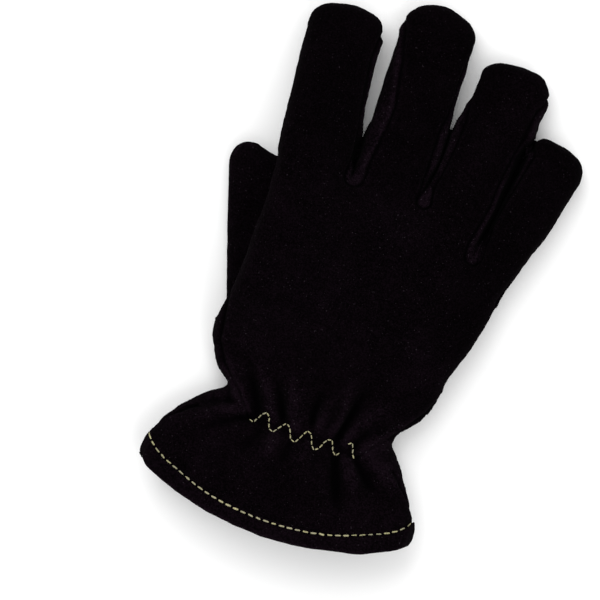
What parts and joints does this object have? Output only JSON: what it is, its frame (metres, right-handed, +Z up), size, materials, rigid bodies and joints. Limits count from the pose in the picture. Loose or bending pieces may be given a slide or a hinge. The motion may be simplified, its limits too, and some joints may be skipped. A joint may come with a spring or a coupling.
{
  "type": "leather firefighter work glove, right hand",
  "caption": "Leather work glove for the right hand, lying palm down, with an elastic-gathered wrist, a flared bound cuff and a pull tab under the cuff.",
  "frame": {"origin": "under the middle of the glove's outline, on the surface that it lies on", "axes": "+X towards the little finger's side, +Y towards the fingertips, +Z up out of the back of the hand"},
  "size_m": [0.1766, 0.2876, 0.0429],
  "materials": {
    "back_suede": "split cowhide suede, short nap, near black",
    "palm_suede": "split cowhide suede, longer nap, near black",
    "strip_suede": "split cowhide suede strip",
    "thumb_suede": "split cowhide suede",
    "binding_suede": "thin folded leather strip, near black",
    "tab_suede": "flat leather tongue, near black"
  },
  "bodies": {
    "root": {"back_panel": "back_suede", "palm_panel": "palm_suede", "fourchette_index_middle": "strip_suede", "fourchette_middle_ring": "strip_suede", "fourchette_ring_pinky": "strip_suede", "thumb_back": "thumb_suede", "thumb_front": "thumb_suede", "cuff_binding": "binding_suede", "pull_tab": "tab_suede"}
  },
  "joints": []
}
